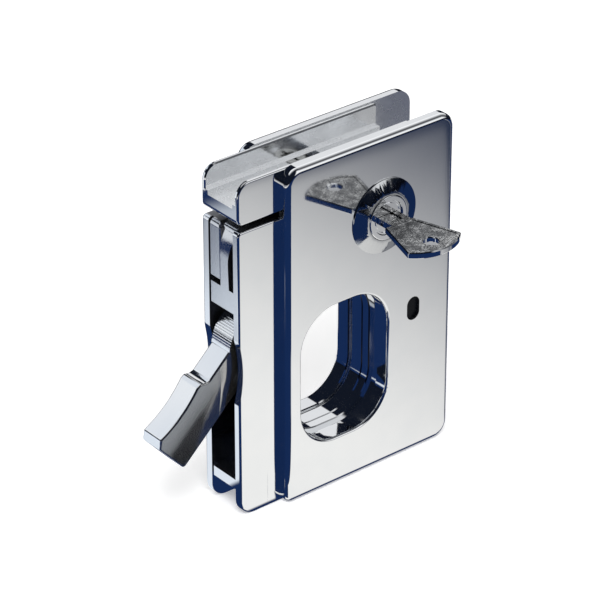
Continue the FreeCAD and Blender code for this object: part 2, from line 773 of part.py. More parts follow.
def slide_bar():
    """Bar from the cam to the hook: two standing slots for the pins, two lying slots for the guides."""
    y = (bar_front_y, bar_rear_y)
    pin_slot = drive_pin_radius + slot_play
    head_foot = crank_low_z - drive_pin_radius - slot_end_play - slot_wall
    head_top = cross_bar_foot - bar_head_clearance
    head = rounded_plate((crank_x - bar_head_half, crank_x + bar_head_half), (head_foot, head_top),
                         [2.0, 0.5, 0.5, 2.0], y)
    limb_half = pin_slot + 2.0
    limb_top = cam_pin_high_z + drive_pin_radius + slot_end_play + slot_wall
    strap = rounded_plate((crank_x, cam_pin_x + limb_half), (strap_foot_z, strap_foot_z + strap_height),
                          [0.5, 2.0, 0.5, 0.5], y)
    strap = strap.cut(box((crank_x - past, crank_x + bar_head_half), y, (head_top, case_height)))
    head_side = crank_x + bar_head_half
    riser = box((head_side - past, head_side + bar_riser_width), y,
                (min(crank_high_z, strap_z), max(crank_high_z, strap_z)))
    riser = riser.cut(box((crank_x, head_side), y, (head_top, case_height)))
    limb = rounded_plate((cam_pin_x - limb_half, cam_pin_x + limb_half), (strap_z, limb_top),
                         [0.5, 0.5, 2.0, 2.0], y)
    bar = head.fuse([strap, limb, riser])
    through = (y[0] - past, y[1] + past)
    for x, low, high in ((crank_x, crank_low_z, crank_high_z), (cam_pin_x, cam_pin_low_z, cam_pin_high_z)):
        middle, half = (low + high) / 2, (high - low) / 2 + slot_end_play - slot_play
        bar = bar.cut(obround_z(x, middle, pin_slot, half, through))
    for x in (guide_left_x, guide_right_x):
        bar = bar.cut(obround_x((x - 0.2, x + slide_travel + 0.2), strap_z,
                                guide_pin_radius + fit_gap, through))
    return bar.removeSplitter()


def slide_guide_pins():
    """Headed pins in the rear cheek that the slide bar runs on."""
    pins = []
    for x in (guide_left_x, guide_right_x):
        head_rear = bar_front_y - loose_gap
        pin = rod_y(x, strap_z, guide_pin_radius,
                    (head_rear - guide_head_height, rear_in_y + pin_seat_depth - seat_gap))
        pin = pin.fuse(rod_y(x, strap_z, guide_head_radius, (head_rear - guide_head_height, head_rear)))
        pin = pin.fuse(rod_y(x, strap_z, guide_head_radius, (bar_rear_y + loose_gap, rear_in_y)))
        pins.append(pin)
    return Part.makeCompound(pins)


def drive_cam():
    """Cam on the plug's square tail, with a lobe for the drive pin."""
    y = (cam_front_y, cam_rear_y)
    cam = rod_y(cylinder_x, cylinder_z, cam_hub_radius, y)
    cam = cam.fuse(rod_y(cam_pin_x, cam_pin_high_z, pin_lobe, y))
    a = math.radians(cam_swing / 2 - 90)
    side = V(math.sin(a), 0, -math.cos(a)) * pin_lobe
    foot, top = V(cylinder_x, y[0], cylinder_z), V(cam_pin_x, y[0], cam_pin_high_z)
    web = Part.Face(Part.makePolygon([foot + side, top + side, top - side, foot - side, foot + side]))
    cam = cam.fuse(web.extrude(V(0, cam_thickness, 0)))
    half = tail_square / 2 + seat_gap
    cam = cam.cut(box((cylinder_x - half, cylinder_x + half), (y[0] - past, y[1] + past),
                      (cylinder_z - half, cylinder_z + half)))
    return cam.cut(rod_y(cam_pin_x, cam_pin_high_z, drive_pin_radius + seat_gap, (y[0] - past, y[1] + past)))


def cam_pin():
    """Pin in the cam that moves the slide bar."""
    return rod_y(cam_pin_x, cam_pin_high_z, drive_pin_radius, (cam_front_y, bar_rear_y + bar_rear_clearance))


def cam_screw():
    """Screw that keeps the cam on the plug."""
    head_y = cam_rear_y + seat_gap
    screw = rod_y(cylinder_x, cylinder_z, cam_screw_head, (head_y, head_y + cam_screw_head_height))
    screw = screw.fuse(rod_y(cylinder_x, cylinder_z, cam_screw_radius,
                             (head_y - cam_screw_length + cam_screw_head_height, head_y)))
    slot = box((cylinder_x - cam_screw_head - past, cylinder_x + cam_screw_head + past),
               (head_y + cam_screw_head_height - screw_slot_depth, head_y + cam_screw_head_height + past),
               (cylinder_z - screw_slot_width / 2, cylinder_z + screw_slot_width / 2))
    return screw.cut(slot)


def cylinder_rosette():
    """Raised ring round the cylinder on the front cover."""
    r_in, r_out = barrel_radius + loose_gap, rosette_radius
    base, top = -cover_y - seat_gap, -cover_y - rosette_height
    points = [V(r_in, base, 0), V(r_out, base, 0), V(r_out, base - rosette_rim, 0),
              V(r_in + 0.9, top - 0.05, 0), V(r_in, top, 0)]
    edges = [line(points[0], points[1]), line(points[1], points[2]), line(points[2], points[3]),
             line(points[3], points[4]), line(points[4], points[0])]
    ring = Part.Face(Part.Wire(edges)).revolve(V(0, 0, 0), ALONG_Y, 360)
    ring = ring.makeFillet(0.25, face_edges(ring, base - rosette_rim))
    ring.translate(V(cylinder_x, 0, cylinder_z))
    return ring


def cylinder_housing():
    """Barrel that carries the plug, grooved for the clip and, inside, for the wafers."""
    barrel = rod_y(cylinder_x, cylinder_z, barrel_radius, (barrel_front_y, barrel_rear_y))
    barrel = barrel.makeFillet(0.3, face_edges(barrel, barrel_front_y))
    barrel = barrel.cut(rod_y(cylinder_x, cylinder_z, plug_radius + fit_gap, (barrel_front_y - past, 0)))
    barrel = barrel.cut(rod_y(cylinder_x, cylinder_z, flange_radius + fit_gap,
                              (barrel_front_y - past, plug_front_y + flange_height + fit_gap)))
    groove_y = (front_in_y + seat_gap, front_in_y + clip_thickness + loose_gap)
    groove = rod_y(cylinder_x, cylinder_z, barrel_radius + past, groove_y)
    groove = groove.cut(rod_y(cylinder_x, cylinder_z, clip_groove_radius, groove_y))
    barrel = barrel.cut(groove)
    reach = plug_radius + lock_groove_depth
    half = wafer_width / 2 + loose_gap
    lock_y = (plug_front_y + flange_height + 1.2, barrel_rear_y + past)
    for x_half, z_half in ((reach, half), (half, reach)):
        barrel = barrel.cut(box((cylinder_x - x_half, cylinder_x + x_half), lock_y,
                                (cylinder_z - z_half, cylinder_z + z_half)))
    return barrel


def cylinder_clip():
    """Spring clip that holds the barrel behind the front cheek."""
    y = (front_in_y + 2 * seat_gap, front_in_y + clip_thickness)
    clip = rounded_plate((cylinder_x - clip_half_width, cylinder_x + clip_half_width),
                         (cylinder_z - clip_half_width, cylinder_z + clip_leg), [6.0, 6.0, 0.8, 0.8], y)
    inner = clip_groove_radius + fit_gap
    through = (y[0] - past, y[1] + past)
    clip = clip.cut(rod_y(cylinder_x, cylinder_z, inner, through))
    return clip.cut(box((cylinder_x - inner, cylinder_x + inner), through,
                        (cylinder_z, cylinder_z + clip_leg + past)))


def wafer_places():
    """Front plane of each wafer."""
    first = plug_front_y + first_wafer_depth
    return [first + k * wafer_pitch for k in range(wafer_count)]


def cylinder_plug():
    """Plug with its flange, keyway, wafer slots, spring pockets and square tail."""
    plug = rod_y(cylinder_x, cylinder_z, plug_radius, (plug_front_y, barrel_rear_y + loose_gap))
    plug = plug.fuse(rod_y(cylinder_x, cylinder_z, flange_radius,
                           (plug_front_y, plug_front_y + flange_height)))
    plug = plug.makeFillet(0.2, face_edges(plug, plug_front_y))
    half = tail_square / 2
    plug = plug.fuse(box((cylinder_x - half, cylinder_x + half),
                         (barrel_rear_y, barrel_rear_y + tail_length),
                         (cylinder_z - half, cylinder_z + half)))
    groove_y = (plug_front_y - past, plug_front_y + 0.3)
    ring = rod_y(cylinder_x, cylinder_z, ring_groove_radius + ring_groove_width, groove_y)
    plug = plug.cut(ring.cut(rod_y(cylinder_x, cylinder_z, ring_groove_radius, groove_y)))
    keyway_half, keyway_rise = blade_width / 2 + loose_gap, key_thickness / 2 + loose_gap
    plug = plug.cut(box((cylinder_x - keyway_half, cylinder_x + keyway_half),
                        (plug_front_y - past, blade_tip_y + 0.3),
                        (cylinder_z - keyway_rise, cylinder_z + keyway_rise)))
    slot_half = wafer_width / 2 + fit_gap
    lug_end = cylinder_x + wafer_lug_x + wafer_lug_width + wafer_travel + fit_gap
    for y in wafer_places():
        slot_y = (y - fit_gap, y + wafer_thickness + fit_gap)
        plug = plug.cut(box((cylinder_x - plug_radius - past, cylinder_x + plug_radius + past), slot_y,
                            (cylinder_z - slot_half, cylinder_z + slot_half)))
        plug = plug.cut(box((cylinder_x - spring_seat_x, lug_end), slot_y,
                            (cylinder_z, cylinder_z + wafer_lug_top + fit_gap)))
    plug = plug.cut(rod_y(cylinder_x, cylinder_z, cam_screw_radius + seat_gap,
                          (cam_rear_y - cam_screw_length + cam_screw_head_height - fit_gap, past)))
    return plug


def cylinder_wafers():
    """Wafers, each a frame round the blade with a lug for its spring."""
    wafers = []
    half = wafer_width / 2
    for y in wafer_places():
        through = (y, y + wafer_thickness)
        disc = rod_y(cylinder_x, cylinder_z, plug_radius - fit_gap, through)
        wafer = disc.common(box((cylinder_x - plug_radius, cylinder_x + plug_radius), through,
                                (cylinder_z - half, cylinder_z + half)))
        lug_x = cylinder_x + wafer_lug_x
        wafer = wafer.fuse(box((lug_x, lug_x + wafer_lug_width), through,
                               (cylinder_z + half - past, cylinder_z + wafer_lug_top)))
        low = -(plug_radius - fit_gap - wafer_side_wall)
        high = blade_width / 2 + 2.5 * loose_gap
        rise = key_thickness / 2 + 2.5 * loose_gap
        window = box((cylinder_x + low, cylinder_x + high), (y - past, y + wafer_thickness + past),
                     (cylinder_z - rise, cylinder_z + rise))
        wafers.append(wafer.cut(window).removeSplitter())
    return Part.makeCompound(wafers)


def wafer_springs():
    """Small coil springs, one behind each wafer's lug."""
    start = -spring_seat_x + spring_wire
    length = wafer_lug_x - start - spring_wire
    springs = []
    for y in wafer_places():
        helix = Part.makeHelix(length / spring_turns, length, spring_radius)
        profile = Part.Wire(Part.makeCircle(spring_wire / 2, V(spring_radius, 0, 0), ALONG_Y).Edges)
        coil = Part.Wire(helix.Edges).makePipeShell([profile], True, True)
        coil.rotate(V(0, 0, 0), ALONG_Y, 90)
        coil.translate(V(cylinder_x + start, y + wafer_thickness / 2, cylinder_z + spring_level))
        springs.append(coil)
    return Part.makeCompound(springs)


def bow_outline(z):
    """Outline of the grip at one level: shoulders, flanks and rounded end."""
    x = cylinder_x + bow_offset
    y = plug_front_y - neck_length
    s, w = bow_shoulder / 2, bow_width / 2
    flank_y, end_y = y - bow_flank, y - bow_flank - bow_arc_height
    return Part.Wire([line(V(x - s, y, z), V(x - w, flank_y, z)),
                      arc(V(x - w, flank_y, z), V(x, end_y, z), V(x + w, flank_y, z)),
                      line(V(x + w, flank_y, z), V(x + s, y, z)), line(V(x + s, y, z), V(x - s, y, z))])


def key_bow():
    """Flat grip of the key, flared towards a rounded end, with a border round both faces."""
    rise = key_thickness / 2
    z = cylinder_z - rise
    x = cylinder_x + bow_offset
    y = plug_front_y - neck_length
    bow = Part.Face(bow_outline(z)).extrude(V(0, 0, key_thickness))
    standing = [e for e in bow.Edges if upright(e) and e.BoundBox.YMax < y - bow_flank + 1.0]
    bow = bow.makeFillet(bow_corner, standing)
    bow = bow.makeChamfer(bow_chamfer, [e for e in bow.Edges if flat_edge(e)])
    panel = Part.Face(bow_outline(0)).makeOffset2D(-bow_border).extrude(V(0, 0, past))
    hole_y = y - bow_hole_from_shoulder
    face_rise = rise - bow_recess
    for side in (-1, 1):
        low = min(side * face_rise, side * (face_rise + past))
        bow = bow.cut(panel.translated(V(0, 0, cylinder_z + low)))
        sink = Part.makeCone(bow_hole_radius + bow_hole_rim, bow_hole_radius, bow_hole_rim,
                             V(x, hole_y, cylinder_z + side * face_rise), V(0, 0, -side))
        bow = bow.cut(sink)
    return bow.cut(rod_z(x, hole_y, bow_hole_radius, (z - past, z + key_thickness + past)))


def key():
    """Flat key: bow, neck, and a blade with its cuts and grooves."""
    half, rise = blade_width / 2, key_thickness / 2
    neck_y = plug_front_y - neck_length - past
    blade = box((cylinder_x - half, cylinder_x + half), (neck_y, blade_tip_y),
                (cylinder_z - rise, cylinder_z + rise))
    blade = blade.makeChamfer(0.9, [e for e in blade.Edges if e.BoundBox.ZLength > rise
                                    and abs(e.BoundBox.YMin - blade_tip_y) < 1e-5])
    for depth, y in zip(key_cuts, wafer_places()):
        middle = y + wafer_thickness / 2
        edge_x = cylinder_x - half
        wide, deep = depth + 0.35, edge_x + depth
        notch = Part.makePolygon([V(edge_x - 0.1, middle - wide, 0), V(deep, middle - 0.25, 0),
                                  V(deep, middle + 0.25, 0), V(edge_x - 0.1, middle + wide, 0),
                                  V(edge_x - 0.1, middle - wide, 0)])
        cutter = Part.Face(notch).extrude(V(0, 0, key_thickness + 2 * past))
        cutter.translate(V(0, 0, cylinder_z - rise - past))
        blade = blade.cut(cutter)
    for side in (-1, 1):
        face_z = cylinder_z + side * rise
        low, high = sorted((face_z - side * key_groove_depth, face_z + side * past))
        groove_x = cylinder_x + side * 1.2
        blade = blade.cut(box((groove_x - key_groove_width / 2, groove_x + key_groove_width / 2),
                              (neck_y + 2.0, blade_tip_y + past), (low, high)))
    return key_bow().fuse(blade).removeSplitter()


def slotted_screw(x, z, radii, cone, y):
    """Countersunk screw with a driving slot, its head at high y."""
    shank, head = radii
    screw = rod_y(x, z, shank, y).fuse(cone_y(x, z, (shank, head), (y[1] - cone, y[1])))
    return screw.cut(box((x - head - past, x + head + past), (y[1] - screw_slot_depth, y[1] + past),
                         (z - screw_slot_width / 2, z + screw_slot_width / 2)))


def cover_screw_set():
    """Screws through the rear cover into the posts of the front cover."""
    return Part.makeCompound([slotted_screw(x, z, (cover_screw_radius, cover_screw_head), cover_screw_cone,
                                            (-outer_y + 2.0, cover_y - seat_gap)) for x, z in cover_screws])


def case_screw_set():
    """Screws that hold the halves of the case together."""
    return Part.makeCompound([slotted_screw(x, z, (case_screw_radius, case_screw_head), case_screw_cone,
                                            (front_in_y + 1.5, outer_y - seat_gap)) for x, z in case_screws])


NODES = {
    "front_cover": front_cover,
    "rear_cover": rear_cover,
    "case_front_half": case_front_half,
    "case_rear_half": case_rear_half,
    "upper_channel": upper_channel,
    "channel_dowels": channel_dowels,
    "clamp_screw": clamp_screw,
    "clamp_nut": clamp_nut,
    "hook_bolt": hook_bolt,
    "hook_pivot_pin": hook_pivot_pin,
    "hook_washers": hook_washers,
    "hook_crank_pin": hook_crank_pin,
    "slide_bar": slide_bar,
    "slide_guide_pins": slide_guide_pins,
    "drive_cam": drive_cam,
    "cam_pin": cam_pin,
    "cam_screw": cam_screw,
    "window_plug": window_plug,
    "cylinder_rosette": cylinder_rosette,
    "cylinder_housing": cylinder_housing,
    "cylinder_clip": cylinder_clip,
    "cylinder_plug": cylinder_plug,
    "cylinder_wafers": cylinder_wafers,
    "wafer_springs": wafer_springs,
    "key": key,
    "cover_screws": cover_screw_set,
    "case_screws": case_screw_set,
}


def main():
    os.makedirs("parts", exist_ok=True)
    for name, make in NODES.items():
        shape = make()
        shape.exportStep("parts/" + name + ".step")
        box_mm = shape.BoundBox
        print(name, "solids", len(shape.Solids), "valid", shape.isValid(), "volume", round(shape.Volume, 1),
              "x", round(box_mm.XMin, 2), round(box_mm.XMax, 2), "y", round(box_mm.YMin, 2),
              round(box_mm.YMax, 2), "z", round(box_mm.ZMin, 2), round(box_mm.ZMax, 2))


main()
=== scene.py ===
# %% [markdown]
# # A chromed lock for a sliding glass door
#
# The lock sits in a notch cut from the edge of a glass door. A hook swings out of its edge and
# catches the frame, a key works it from one side, and a rounded window right through it is the
# finger pull. Nearly all of it is zinc casting under mirror chrome, so it has hardly any colour of
# its own: what the eye reads as its colour is the room.
#
# This lesson has four parts. It loads the exact parts and places the camera. It makes a material of
# nodes for each metal. It gives the parts that show a smooth skin and dresses them. Then it builds
# the small studio that the chrome reflects, which for a mirror is half of the material.

# %% Load the exact parts
import math

import bmesh
import bpy
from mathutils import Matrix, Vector


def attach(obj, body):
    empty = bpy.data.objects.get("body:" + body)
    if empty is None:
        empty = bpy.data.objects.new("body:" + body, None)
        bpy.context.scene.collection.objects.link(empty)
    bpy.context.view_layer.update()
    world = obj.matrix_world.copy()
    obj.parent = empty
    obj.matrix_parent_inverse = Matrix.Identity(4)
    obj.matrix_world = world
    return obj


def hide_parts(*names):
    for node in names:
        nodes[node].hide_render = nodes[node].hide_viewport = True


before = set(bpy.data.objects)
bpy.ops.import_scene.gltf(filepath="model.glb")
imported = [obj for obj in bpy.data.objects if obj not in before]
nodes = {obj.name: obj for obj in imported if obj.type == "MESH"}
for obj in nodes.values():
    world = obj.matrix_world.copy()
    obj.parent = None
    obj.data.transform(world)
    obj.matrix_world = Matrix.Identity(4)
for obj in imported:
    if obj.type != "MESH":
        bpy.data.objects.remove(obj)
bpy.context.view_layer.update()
MM = 0.001

# %% [markdown]
# ## The camera
#
# The lock is seen from the left, from above, and from far away through a long lens, so its upright
# edges stay nearly parallel. A camera can be typed in as a position and a rotation. Here it is given
# by two angles about a target and a distance instead, because those are easier to read, and one of
# them can be changed without touching the others. The Standard view keeps each colour as written.

# %% Place the camera
camera_azimuth = -39.40
camera_elevation = 29.58
camera_distance = 891.7 * MM
camera_target = Vector((-3.14, -0.75, 48.8)) * MM
lens_mm = 193.2
sensor_mm = 36.0
nearest, farthest = 0.05, 20.0


def towards(azimuth, elevation):
    """Direction from the lock to something seen at two angles, in degrees."""
    turn, lift = math.radians(azimuth), math.radians(elevation)
    return Vector((math.sin(turn) * math.cos(lift), -math.cos(turn) * math.cos(lift), math.sin(lift)))


back = towards(camera_azimuth, camera_elevation)
camera_data = bpy.data.cameras.new("camera")
camera_data.lens = lens_mm
camera_data.sensor_width = sensor_mm
camera_data.clip_start = nearest
camera_data.clip_end = farthest
camera = bpy.data.objects.new("camera", camera_data)
camera.location = camera_target + back * camera_distance
camera.rotation_euler = (-back).to_track_quat("-Z", "Y").to_euler()
bpy.context.scene.collection.objects.link(camera)
bpy.context.scene.camera = camera
bpy.context.scene.view_settings.view_transform = "Standard"
print("camera at", [round(v / MM) for v in camera.location])

# %% [markdown]
# ## Helpers for node materials
#
# Every finish below is a chain of nodes. Written out one call at a time, a chain is long and hard
# to follow, so a few helpers do the typing. The first adds a node and fills its inputs, the second
# starts a metal, and the third links the three inputs that every finish here fills.
#
# All patterns are placed by the object's own coordinates. Every part here keeps its object at the
# origin, so these are the lock's own metres, and a pattern lies still on its part when the part
# moves.

# %% Node helpers
def add_node(tree, kind, inputs=None, **settings):
    """Adds a node. An input is a value, or the output socket of another node."""
    node = tree.nodes.new(kind)
    for name, value in settings.items():
        setattr(node, name, value)
    for name, value in (inputs or {}).items():
        if isinstance(value, bpy.types.NodeSocket):
            tree.links.new(value, node.inputs[name])
        else:
            node.inputs[name].default_value = value
    return node


def start_metal(name):
    """A metal with nothing but its shader, and the object's own coordinates to paint by."""
    material = bpy.data.materials.new(name)
    material.use_nodes = True
    tree = material.node_tree
    shader = tree.nodes["Principled BSDF"]
    shader.inputs["Metallic"].default_value = 1.0
    place = add_node(tree, "ShaderNodeTexCoord").outputs["Object"]
    return material, tree, shader, place


def fill_finish(tree, shader, colour, roughness, surface):
    """Links what every finish has: its colour, how blurred it mirrors, and its relief."""
    for name, socket in (("Base Color", colour), ("Roughness", roughness), ("Normal", surface)):
        tree.links.new(socket, shader.inputs[name])


# %% [markdown]
# The links of a chain come next: a random pattern, a range for it, a blend of two colours by it,
# and a relief from it. Sizes are in millimetres, as they would be measured on the metal.

# %% Patterns, ranges, blends and relief
def noise(tree, place, size_mm, detail=2.0, stretch=(1.0, 1.0, 1.0)):
    """Soft random pattern with grains about size_mm across, drawn out where stretch is small."""
    mapped = add_node(tree, "ShaderNodeMapping", {"Vector": place, "Scale": stretch})
    grains = add_node(tree, "ShaderNodeTexNoise", {"Vector": mapped.outputs["Vector"],
                                                   "Scale": 1.0 / (size_mm * MM), "Detail": detail})
    return grains.outputs["Fac"]


def between(tree, value, low, high, start=0.0, end=1.0):
    """Turns a pattern's start to end into a range of its own."""
    ranged = add_node(tree, "ShaderNodeMapRange", {"Value": value, "From Min": start, "From Max": end,
                                                   "To Min": low, "To Max": high})
    return ranged.outputs["Result"]


def blend_colours(tree, value, first, second):
    """Goes from the first colour to the second as the value goes from 0 to 1."""
    mix = add_node(tree, "ShaderNodeMix", data_type="RGBA")
    tree.links.new(value, mix.inputs["Factor"])
    mix.inputs["A"].default_value = (*first, 1.0)
    mix.inputs["B"].default_value = (*second, 1.0)
    return mix.outputs["Result"]


def rise(tree, height, depth_mm, under=None):
    """Lifts the surface by a pattern; under is the relief beneath it, if there is one."""
    bump = add_node(tree, "ShaderNodeBump", {"Height": height, "Distance": depth_mm * MM,
                                             "Strength": 1.0})
    if under is not None:
        tree.links.new(under, bump.inputs["Normal"])
    return bump.outputs["Normal"]


# %% [markdown]
# ## Mirror chrome
#
# Chrome plate on a polished casting is nearly a mirror, but never quite flat: the buffing wheel
# leaves waves a few millimetres long, and cloths leave hair lines. A perfectly smooth metal would
# be easier, but it looks like glass. So the roughness wanders a little, and two faint reliefs bend
# the reflections. The hair lines run upwards, the way the covers are wiped.

# %% Mirror chrome
chrome_shades = (0.80, 0.815, 0.83), (0.86, 0.865, 0.87)
chrome_roughness = 0.035, 0.075
cloud_mm, wave_mm, hair_mm = 9.0, 14.0, 0.5
wave_depth_mm, hair_depth_mm = 0.012, 0.0006
drawn_upwards = (1.0, 1.0, 0.04)


def make_mirror_chrome():
    material, tree, shader, place = start_metal("mirror_chrome")
    clouds = noise(tree, place, cloud_mm)
    waves = rise(tree, noise(tree, place, wave_mm, detail=0.0), wave_depth_mm)
    hairs = noise(tree, place, hair_mm, detail=1.0, stretch=drawn_upwards)
    fill_finish(tree, shader, blend_colours(tree, clouds, *chrome_shades),
                between(tree, clouds, *chrome_roughness), rise(tree, hairs, hair_depth_mm, under=waves))
    return material


mirror_chrome = make_mirror_chrome()
print("made", mirror_chrome.name)

# %% [markdown]
# ## Chrome over a rough casting
#
# The trough, the cavity and the sides of the hook are plated but not buffed. The skin of the mould
# still shows through as grain a fraction of a millimetre across, with lines drawn the way the mould
# opened. One recipe serves all of them, with the grain's width and depth as its measures.
#
# Depth and roughness are not the same thing. Depth bends the reflection, so that a straight edge in
# it comes out frayed. Roughness blurs it, and stands for marks too fine to model. Patches a few
# millimetres wide take the roughness up and down and dull the shade a little where it is smooth.

# %% The recipe for cast chrome
patch_mm = 6.0
patch_shade_from_to, patch_roughness_from_to = (0.3, 0.7), (0.25, 0.75)
dull_share = 0.86
drawn_grain_size, drawn_grain_depth = 1.6, 0.7
every_way = (1.0, 1.0, 1.0)


def make_cast_chrome(name, shade, grain_mm, depth_mm, roughness, draw=every_way, plate=1.0):
    """plate is the share of the light that is mirrored; the rest comes from a plain surface."""
    material, tree, shader, place = start_metal(name)
    shader.inputs["Metallic"].default_value = plate
    patches = noise(tree, place, patch_mm, detail=3.0)
    dull_shade = tuple(dull_share * value for value in shade)
    grain = rise(tree, noise(tree, place, grain_mm, detail=4.0), depth_mm)
    drawn = noise(tree, place, grain_mm * drawn_grain_size, detail=2.0, stretch=draw)
    share = between(tree, patches, 0.0, 1.0, *patch_shade_from_to)
    fill_finish(tree, shader, blend_colours(tree, share, dull_shade, shade),
                between(tree, patches, *roughness, *patch_roughness_from_to),
                rise(tree, drawn, depth_mm * drawn_grain_depth, under=grain))
    return material


# %% [markdown]
# The trough's walls are bright with frayed edges, so they get depth. Its floor is paler and softer,
# so it gets more of both. The chamfers where the covers meet the case in the finger pull are painted
# nearly black: a painted shade in the joints. The hook's sides are painted a darker grey, which is a
# painted shade, and a small part of their light comes from a plain grey surface instead of a mirror,
# which turns the blue of the room there into a dark grey.

# %% The castings
trough_casting = make_cast_chrome("trough_casting", (0.88, 0.89, 0.90), grain_mm=0.5, depth_mm=0.009,
                                  roughness=(0.06, 0.16), draw=(0.08, 1.0, 1.0))
trough_floor = make_cast_chrome("trough_floor", (0.94, 0.95, 0.96), grain_mm=0.5, depth_mm=0.012,
                                roughness=(0.18, 0.34))
# The hook's sides: grainy cast chrome with its grey darkened as a painted shade.
hook_side_painted_shade = make_cast_chrome("hook_side_painted_shade", (0.48, 0.48, 0.47), grain_mm=0.28, depth_mm=0.003,
                                roughness=(0.07, 0.14), plate=0.965)
hub_casting = make_cast_chrome("hub_casting", (0.92, 0.93, 0.94), grain_mm=0.28, depth_mm=0.003,
                               roughness=(0.10, 0.16))
# A painted shade for the chamfers in the finger pull: nearly black.
joint_painted_shade = make_cast_chrome("joint_painted_shade", (0.05, 0.052, 0.06), grain_mm=0.3, depth_mm=0.006,
                                 roughness=(0.20, 0.30))
block_casting = make_cast_chrome("block_casting", (0.70, 0.71, 0.73), grain_mm=0.35, depth_mm=0.008,
                                 roughness=(0.10, 0.18))
inner_casting = make_cast_chrome("inner_casting", (0.24, 0.245, 0.26), grain_mm=0.6, depth_mm=0.03,
                                 roughness=(0.30, 0.45))
print("made", ", ".join(material.name for material in (
    trough_casting, trough_floor, hook_side_painted_shade, hub_casting, joint_painted_shade, block_casting,
    inner_casting)))

# %% [markdown]
# ## Nickel on the key
#
# The key is stamped from sheet and tumbled with grit before it is nickelled, so its faces are
# pebbled and its edges smooth. Pebbles come from a Voronoi pattern, whose distance is lowest at the
# middle of each cell and makes a round dent there. The grey is speckled, and it is also worn in
# patches a few millimetres wide. The two are multiplied, so a speckle is bright only where the
# patch around it is worn too.

# %% Key nickel
nickel_shades = (0.085, 0.087, 0.092), (0.70, 0.70, 0.69)
nickel_roughness = 0.16, 0.36
pebble_mm, pebble_depth_mm = 0.45, 0.04
speckle_mm, speckle_depth_mm = 0.4, 0.02
speckles_from_to = 0.42, 0.60
wear_mm, wear_levels, wear_from_to = 3.2, (0.12, 1.0), (0.38, 0.62)


def make_key_nickel():
    material, tree, shader, place = start_metal("key_nickel")
    pebbles = add_node(tree, "ShaderNodeTexVoronoi", {"Vector": place, "Scale": 1.0 / (pebble_mm * MM)})
    fine = noise(tree, place, speckle_mm, detail=3.0)
    worn = between(tree, noise(tree, place, wear_mm, detail=2.0), *wear_levels, *wear_from_to)
    speckles = between(tree, fine, 0.0, 1.0, *speckles_from_to)
    bright = add_node(tree, "ShaderNodeMath", {0: speckles, 1: worn}, operation="MULTIPLY").outputs[0]
    pebbled = rise(tree, pebbles.outputs["Distance"], pebble_depth_mm)
    speckled = rise(tree, fine, speckle_depth_mm, under=pebbled)
    fill_finish(tree, shader, blend_colours(tree, bright, *nickel_shades),
                between(tree, fine, *nickel_roughness), speckled)
    return material


key_nickel = make_key_nickel()
print("made", key_nickel.name)

# %% [markdown]
# ## Turned metals and black plastic
#
# Screws and pins are turned bright steel, the wafers in the plug are brass, and the rosette is
# turned and buffed, a little darker than the covers. They need only a fine grain, but with it they
# catch the light as softly as the real ones. The plastic that closes the small window is the one
# finish here that is no metal. Its gloss is low, so that it stays black beside the bright chrome.

# %% Turned metals and black plastic
turned_grain_mm, turned_depth_mm = 0.35, 0.004
plastic_grain_mm, plastic_depth_mm = 0.4, 0.004
plastic_shades = (0.002, 0.0025, 0.004), (0.006, 0.007, 0.009)
plastic_roughness = 0.32, 0.48
plastic_gloss = 0.12


def make_turned_metal(name, dark, light, roughness):
    material, tree, shader, place = start_metal(name)
    grain = noise(tree, place, turned_grain_mm, detail=3.0)
    fill_finish(tree, shader, blend_colours(tree, grain, dark, light),
                between(tree, grain, *roughness), rise(tree, grain, turned_depth_mm))
    return material


def make_black_plastic():
    material, tree, shader, place = start_metal("black_plastic")
    shader.inputs["Metallic"].default_value = 0.0
    shader.inputs["Specular IOR Level"].default_value = plastic_gloss
    grain = noise(tree, place, plastic_grain_mm, detail=2.0)
    fill_finish(tree, shader, blend_colours(tree, grain, *plastic_shades),
                between(tree, grain, *plastic_roughness), rise(tree, grain, plastic_depth_mm))
    return material


bright_steel = make_turned_metal("bright_steel", (0.48, 0.48, 0.47), (0.64, 0.64, 0.62), (0.18, 0.34))
wafer_brass = make_turned_metal("wafer_brass", (0.62, 0.43, 0.17), (0.78, 0.58, 0.26), (0.2, 0.36))
rosette_chrome = make_turned_metal("rosette_chrome", (0.56, 0.57, 0.58), (0.66, 0.67, 0.68),
                                   (0.05, 0.10))
black_plastic = make_black_plastic()
print("made", bright_steel.name, wafer_brass.name, rosette_chrome.name, black_plastic.name)

# %% [markdown]
# ## A smooth skin for the pieces that show
#
# The exact parts arrive as loose flat triangles. That is right for measuring, but a mirror shows
# every facet. The shapes could be modelled a second time with smooth surfaces, but then there would
# be two of everything to keep alike. So each piece that shows is copied and made whole instead, in
# four steps.
#
# 1. Corners in the same place are merged, so that neighbours share their edges.
# 2. Slivers are removed, and flat fans of triangles are dissolved into large flat faces.
# 3. Edges that turn by more than 28 degrees are marked sharp. The arcs of the roundings turn by far
#    less from one facet to the next, so they stay smooth.
# 4. The corner normals are weighted by face area. At the seam between a flat and its rounding the
#    flat wins, so flats mirror evenly to their very edge and only the roundings bend the picture.
#
# The skin then stands for its exact part: it rides on the same body, and the part itself is hidden.

# %% Make a copy whole
sharp_turn = math.radians(28.0)
flat_turn = math.radians(0.5)
merge_within = 0.0005 * MM


def make_whole(work):
    """Merges the loose triangles into one surface and marks its sharp edges."""
    bmesh.ops.remove_doubles(work, verts=work.verts, dist=merge_within)
    bmesh.ops.dissolve_degenerate(work, edges=work.edges, dist=merge_within)
    bmesh.ops.dissolve_limit(work, angle_limit=flat_turn, verts=work.verts, edges=work.edges)
    work.normal_update()
    for edge in work.edges:
        edge.smooth = edge.is_manifold and edge.calc_face_angle(0.0) < sharp_turn


def paint_faces(work, paint):
    """Gives each face the material that the rule picks, and returns those in use."""
    used = []
    for face in work.faces:
        material = paint(face.calc_center_median() / MM, face.normal)
        if material not in used:
            used.append(material)
        face.material_index = used.index(material)
        face.smooth = True
    return used


